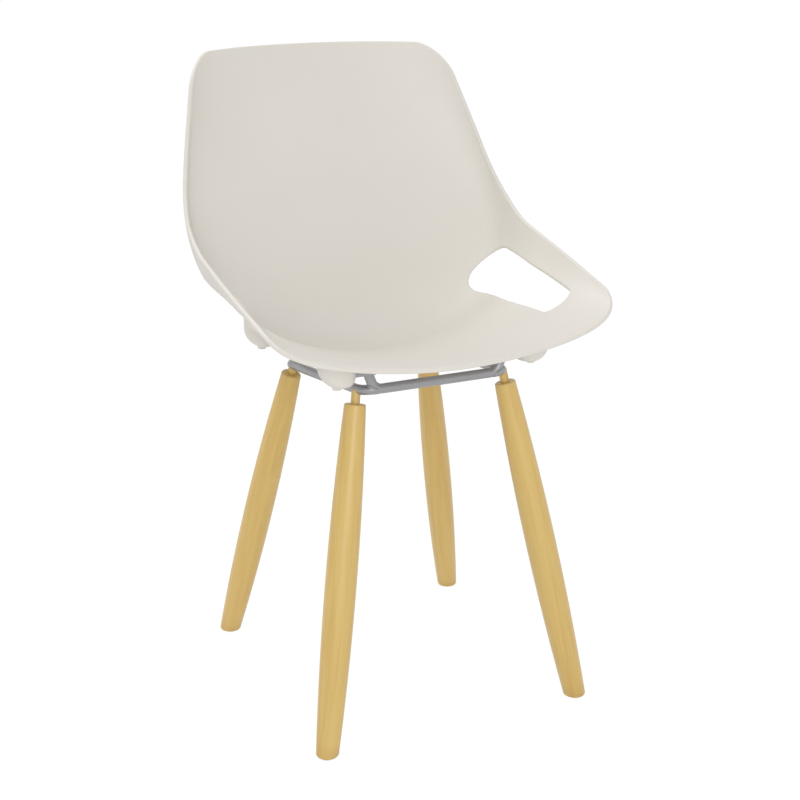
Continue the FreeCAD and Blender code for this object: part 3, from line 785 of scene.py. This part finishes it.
class WeldTree:
    """Geometry Nodes that lay a rippled bead along each line of a mesh."""

    PROFILE_POINTS = 16

    def __init__(self) -> None:
        """Build the tree with its named inputs."""
        self.tree = bpy.data.node_groups.new("weld_bead", "GeometryNodeTree")
        face = self.tree.interface
        face.new_socket("Lines", in_out="INPUT", socket_type="NodeSocketGeometry")
        for name in ("Bead Radius", "Spacing", "Ripple", "Ripple Scale", "Seed"):
            face.new_socket(name, in_out="INPUT", socket_type="NodeSocketFloat")
        face.new_socket("Finish", in_out="INPUT", socket_type="NodeSocketMaterial")
        face.new_socket("Bead", in_out="OUTPUT", socket_type="NodeSocketGeometry")
        self.wire()

    def node(self, kind: str) -> bpy.types.Node:
        """Add a node of one kind."""
        return self.tree.nodes.new(kind)

    def wire(self) -> None:
        """Join the nodes: lines to curves, a rippled radius, a round profile and the finish."""
        given, result = self.node("NodeGroupInput"), self.node("NodeGroupOutput")
        curve, even = self.node("GeometryNodeMeshToCurve"), self.node("GeometryNodeResampleCurve")
        noise, ripple = self.node("ShaderNodeTexNoise"), self.node("ShaderNodeMath")
        size, swell = self.node("ShaderNodeMath"), self.node("GeometryNodeSetCurveRadius")
        profile = self.node("GeometryNodeCurvePrimitiveCircle")
        bead, smooth = self.node("GeometryNodeCurveToMesh"), self.node("GeometryNodeSetShadeSmooth")
        real, paint = self.node("GeometryNodeRealizeInstances"), self.node("GeometryNodeSetMaterial")
        even.mode = "LENGTH"
        noise.noise_dimensions = "4D"
        ripple.operation = "MULTIPLY_ADD"
        ripple.inputs[2].default_value = 1.0
        size.operation = "MULTIPLY"
        profile.inputs["Resolution"].default_value = self.PROFILE_POINTS
        profile.inputs["Radius"].default_value = 1.0
        bead.inputs["Fill Caps"].default_value = True
        pairs = [
            (given, "Lines", curve, "Mesh"), (curve, "Curve", even, "Curve"),
            (given, "Spacing", even, "Length"), (given, "Ripple Scale", noise, "Scale"),
            (given, "Seed", noise, "W"), (noise, "Fac", ripple, 0), (given, "Ripple", ripple, 1),
            (ripple, 0, size, 0), (given, "Bead Radius", size, 1), (even, "Curve", swell, "Curve"),
            (size, 0, swell, "Radius"), (swell, "Curve", bead, "Curve"),
            (profile, "Curve", bead, "Profile Curve"), (bead, "Mesh", smooth, "Geometry"),
            (smooth, "Geometry", real, "Geometry"), (real, "Geometry", paint, "Geometry"),
            (given, "Finish", paint, "Material"), (paint, "Geometry", result, "Bead"),
        ]
        if "Scale" in bead.inputs:
            pairs.append((size, 0, bead, "Scale"))
        for source, output, target, entry in pairs:
            self.tree.links.new(source.outputs[output], target.inputs[entry])

    def grow(self, name: str, lines: bpy.types.Mesh, **values: float | bpy.types.Material
             ) -> bpy.types.Object:
        """Run the tree on a mesh of lines.

        Args:
            name: Name of the piece.
            lines: Lines that the beads follow.
            **values: Inputs by name, with an underscore for a space.

        Returns:
            The finished beads as a plain mesh object.
        """
        carrier = bpy.data.objects.new(name + "_lines", lines)
        bpy.context.scene.collection.objects.link(carrier)
        modifier = carrier.modifiers.new("build", "NODES")
        modifier.node_group = self.tree
        for item in self.tree.interface.items_tree:
            key = item.name.replace(" ", "_")
            if item.in_out == "INPUT" and key in values:
                modifier[item.identifier] = values[key]
        shown = carrier.evaluated_get(bpy.context.evaluated_depsgraph_get())
        piece = bpy.data.objects.new(name, bpy.data.meshes.new_from_object(shown))
        bpy.data.objects.remove(carrier)
        bpy.context.scene.collection.objects.link(piece)
        return piece


@dataclass
class Underframe:
    """Front, rear and side rods with their braces and weld beads; sizes in millimetres."""

    rods: tuple[str, ...] = ("front_rod", "rear_rod", "side_rod_left", "side_rod_right")
    finish: CoatedSteel = ROD_COAT
    rod_radius: float = 6.0
    bend_radius: float = 15.0
    bend_start: float = 71.0
    bars: dict[End, tuple[float, float]] = field(
        default_factory=lambda: {End.FRONT: (-167.8, 434.7), End.REAR: (78.6, 400.0)})
    weld_reach: float = 78.0
    weld_points: int = 25
    bead_radius: float = 1.3
    bead_spacing: float = 0.6
    ripple: float = 0.35
    ripple_scale: float = 700.0
    ripple_seed: float = 4.0

    def weld_line(self, end: End, side: Side) -> np.ndarray:
        """Return the line where a side rod meets the brace that turns up beside it."""
        turn = np.radians(np.linspace(-self.weld_reach, self.weld_reach, self.weld_points))
        y, z = self.bars[end]
        reach = self.bend_start + 2 * np.sqrt(self.bend_radius * self.rod_radius * np.cos(turn))
        return np.column_stack((side.value * reach, y + self.rod_radius * np.sin(turn),
                                z + self.rod_radius * np.cos(turn)))

    def add_welds(self, coat: bpy.types.Material) -> None:
        """Lay a bead at each of the four joints."""
        lines = [self.weld_line(end, side) for end in End for side in Side]
        edges = [(line * self.weld_points + i, line * self.weld_points + i + 1)
                 for line in range(len(lines)) for i in range(self.weld_points - 1)]
        mesh = bpy.data.meshes.new("weld_lines")
        mesh.from_pydata((np.vstack(lines) * MM).tolist(), edges, [])
        beads = WeldTree().grow("weld_beads", mesh, Bead_Radius=self.bead_radius * MM,
                                Spacing=self.bead_spacing * MM, Ripple=self.ripple,
                                Ripple_Scale=self.ripple_scale, Seed=self.ripple_seed, Finish=coat)
        add_piece(beads, "frame_steel")

    def add(self) -> None:
        """Dress the rods and weld them."""
        coat = self.finish.material()
        for rod in self.rods:
            dress(rod, coat)
        self.add_welds(coat)


@dataclass
class Mounts:
    """Housings under the shell, with their caps, screws and inserts; sizes in millimetres.

    A housing is a hollow cup with a lid round the boss.  Its side that looks outward slants in to the cap,
    the other side is upright.
    """

    shell: MouldedShell
    radius: float = 22.5
    wall: float = 2.4
    cap_hole: float = 5.05
    lid_hole: float = 10.3
    dome_height: float = 25.0
    outward_power: float = 1.9
    inward_power: float = 4.5
    dome_start: float = 0.12
    dome_steps: int = 14
    neck: float = 0.4
    lid_steps: int = 4
    sharp_angle: float = 40.0
    flat_tops: dict[End, float] = field(default_factory=lambda: {End.FRONT: 475.0, End.REAR: 487.0})
    housing: MouldedPlastic = SHELL_PLASTIC
    cap: MouldedPlastic = CAP_PLASTIC
    screw: CoatedSteel = ZINC
    insert: CoatedSteel = BRASS

    def profile(self, side: Side, radius: float, base: float, top: np.ndarray, centre: np.ndarray
                ) -> list[np.ndarray]:
        """Draw the rings of one face of a cup, from the cap's hole up to the rim.

        Args:
            side: Side of the chair that the cup is on.
            radius: Radius of the face at its widest.
            base: Height of the face at the cap's hole.
            top: Height of the rim at each point.
            centre: X and Y of the cup's axis.

        Returns:
            The rings.
        """
        outward = (1 + np.cos(round_angles()) * side.value) / 2
        power = self.inward_power + (self.outward_power - self.inward_power) * outward
        rings = [ring(centre, self.cap_hole, base)]
        height = self.dome_height - (self.radius - radius)
        narrowest = self.cap_hole + self.neck
        for lean in np.linspace(self.dome_start, 1, self.dome_steps) * math.pi / 2:
            reach = math.sin(lean) ** (2 / power) * radius
            level = base + (1 - math.cos(lean) ** (2 / power)) * height
            rings.append(ring(centre, np.maximum(reach, narrowest), np.minimum(level, top)))
        rings.append(ring(centre, radius, top))
        return rings

    def build(self, end: End, side: Side) -> bpy.types.Object:
        """Build the housing at one corner."""
        low, high = (np.array(point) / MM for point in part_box(f"mount_{end.word}_{side.word}"))
        centre = (low + high)[:2] / 2
        lid = []
        for radius in np.linspace(self.radius, self.lid_hole, self.lid_steps):
            flat = ring(centre, radius, 0.0)
            flat[:, 2] = np.minimum(self.flat_tops[end], self.shell.height_over(flat[:, :2]))
            lid.append(flat)
        under = [flat - (0, 0, self.wall) for flat in lid[:0:-1]]
        base, top, wall = low[2], lid[0][:, 2], self.wall
        outer = self.profile(side, self.radius, base, top, centre)
        inner = self.profile(side, self.radius - wall, base + wall, top - wall, centre)
        points, faces = skin(outer + lid[1:] + under + inner[::-1], closed=True)
        housing = mesh_object(f"housing_{end.word}_{side.word}", points, faces)
        housing.data.set_sharp_from_angle(angle=math.radians(self.sharp_angle))
        return housing

    def add(self) -> None:
        """Build the housings and dress the parts of each mount."""
        plastic = self.housing.material()
        for end in End:
            for side in Side:
                housing = self.build(end, side)
                put_material(housing, plastic)
                add_piece(housing, "shell_plastic", f"mount_{end.word}_{side.word}")
        finishes = {"screw_cap": self.cap, "mount_screw": self.screw, "threaded_insert": self.insert}
        for part, finish in finishes.items():
            material = finish.material()
            for corner in CORNERS:
                dress(f"{part}_{corner}", material)


@dataclass
class Legs:
    """Four turned legs with their studs, glides and nails."""

    wood: TurnedBeech = TurnedBeech("beech")
    steel: CoatedSteel = ZINC
    glide: MouldedPlastic = GLIDE_PLASTIC
    turns: tuple[float, float, float, float] = (0.4, 2.1, 3.6, 5.2)

    def axis(self, corner: str) -> tuple[Vector, Euler]:
        """Work out where one leg's axis starts and how it leans, from its glide and its stud."""
        low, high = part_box(f"glide_{corner}")
        foot = (low + high) / 2
        foot.z = 0.0
        low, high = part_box(f"leg_stud_{corner}")
        lean = ((low + high) / 2 - foot).to_track_quat("Z", "Y").to_euler()
        return foot, lean

    def add(self) -> None:
        """Dress the legs and what is fixed to them."""
        steel, glide = self.steel.material(), self.glide.material()
        for corner, turn in zip(CORNERS, self.turns):
            foot, lean = self.axis(corner)
            dress(f"leg_{corner}", self.wood.material(foot, lean, turn))
            dress(f"leg_stud_{corner}", steel)
            dress(f"glide_nail_{corner}", steel)
            dress(f"glide_{corner}", glide)


@dataclass
class Studio:
    """Pale floor, soft lamps and the camera of the photograph."""

    frame_width: float = 800.0
    focal_pixels: float = 1498.08
    camera_place: tuple[float, float, float] = (-0.7609, -1.6925, 0.9875)
    camera_target: tuple[float, float, float] = (0.0, -0.0652, 0.3786)
    floor_size: float = 40.0
    floor_colour: Colour = (243, 243, 243)
    floor_roughness: float = 0.9
    floor_gloss: float = 0.1
    floor_share: float = 0.93
    floor_level: float = 1.03
    world_level: float = 0.79
    lamps: tuple[tuple[str, tuple[float, float, float], float, float], ...] = (
        ("key", (-1.0, 1.5, 3.1), 1.5, 38.0),
        ("fill", (-0.9, -3.6, 1.5), 2.4, 44.0),
    )

    def aimed(self, name: str, data: bpy.types.ID, place: Sequence[float]) -> bpy.types.Object:
        """Put a camera or a lamp in the scene, turned to the chair."""
        item = bpy.data.objects.new(name, data)
        item.location = place
        look = Vector(self.camera_target) - Vector(place)
        item.rotation_euler = look.to_track_quat("-Z", "Y").to_euler()
        bpy.context.scene.collection.objects.link(item)
        return item

    def add_camera(self) -> None:
        """Place the camera with the photograph's view and lens."""
        data = bpy.data.cameras.new("camera")
        data.sensor_fit = "HORIZONTAL"
        data.lens = data.sensor_width * self.focal_pixels / self.frame_width
        bpy.context.scene.camera = self.aimed("camera", data, self.camera_place)

    @staticmethod
    def show_white(tree: bpy.types.NodeTree, plain: bpy.types.Node, white: bpy.types.Node, share: float,
                   output: str) -> None:
        """Show a plain white to the camera, in mirrors and through clear surfaces.

        Args:
            tree: Node tree of the floor or the world.
            plain: Shader that lights the chair.
            white: Shader that is shown.
            share: How much of the shown shader covers the plain one.
            output: Name of the tree's last node.
        """
        def worked(operation: str, first: bpy.types.NodeSocket) -> bpy.types.Node:
            """Add a sum whose first value is given."""
            node = tree.nodes.new("ShaderNodeMath")
            node.operation = operation
            tree.links.new(first, node.inputs[0])
            return node

        path = tree.nodes.new("ShaderNodeLightPath")
        shown = path.outputs["Is Camera Ray"]
        for name in ("Is Glossy Ray", "Is Transmission Ray"):
            either = worked("MAXIMUM", shown)
            tree.links.new(path.outputs[name], either.inputs[1])
            shown = either.outputs[0]
        part = worked("MULTIPLY", shown)
        part.inputs[1].default_value = share
        mix = tree.nodes.new("ShaderNodeMixShader")
        for i, node in enumerate((part, plain, white)):
            tree.links.new(node.outputs[0], mix.inputs[i])
        tree.links.new(mix.outputs[0], tree.nodes[output].inputs["Surface"])

    def add_floor(self) -> None:
        """Lay a pale floor that looks white to the camera and keeps a faint shadow."""
        half = self.floor_size / MM / 2
        corners = np.array([(-half, -half, 0), (half, -half, 0), (half, half, 0), (-half, half, 0)])
        floor = mesh_object("floor", corners, [(0, 1, 2, 3)])
        material = bpy.data.materials.new("floor")
        material.use_nodes = True
        tree = material.node_tree
        shader = tree.nodes["Principled BSDF"]
        shader.inputs["Base Color"].default_value = linear(self.floor_colour)
        shader.inputs["Roughness"].default_value = self.floor_roughness
        shader.inputs["Specular IOR Level"].default_value = self.floor_gloss
        glow = tree.nodes.new("ShaderNodeEmission")
        glow.inputs["Strength"].default_value = self.floor_level
        self.show_white(tree, shader, glow, self.floor_share, "Material Output")
        put_material(floor, material)

    def add_world(self) -> None:
        """Light the scene evenly and show white behind it."""
        world = bpy.data.worlds.new("studio")
        world.use_nodes = True
        tree = world.node_tree
        soft, white = tree.nodes["Background"], tree.nodes.new("ShaderNodeBackground")
        for shader, level in ((soft, self.world_level), (white, 1.0)):
            shader.inputs["Color"].default_value = (1.0, 1.0, 1.0, 1.0)
            shader.inputs["Strength"].default_value = level
        self.show_white(tree, soft, white, 1.0, "World Output")
        bpy.context.scene.world = world

    def add_lamps(self) -> None:
        """Hang the large soft lamps, each turned to the chair."""
        for name, place, size, power in self.lamps:
            data = bpy.data.lights.new(name, "AREA")
            data.shape = "DISK"
            data.size = size
            data.energy = power
            self.aimed(name, data, place)

    def add(self) -> None:
        """Set up the whole studio."""
        self.add_camera()
        self.add_floor()
        self.add_world()
        self.add_lamps()
        bpy.context.scene.view_settings.view_transform = "Standard"


def main() -> None:
    """Build the chair's looks and its studio, and report each assembly."""
    logging.basicConfig(level=logging.INFO, format="%(name)s: %(message)s")
    shell = MouldedShell()
    for assembly in (shell, Mounts(shell), Underframe(), Legs(), Studio()):
        assembly.add()
        LOG.info("%s is done", type(assembly).__name__)


if __name__ == "__main__":
    main()
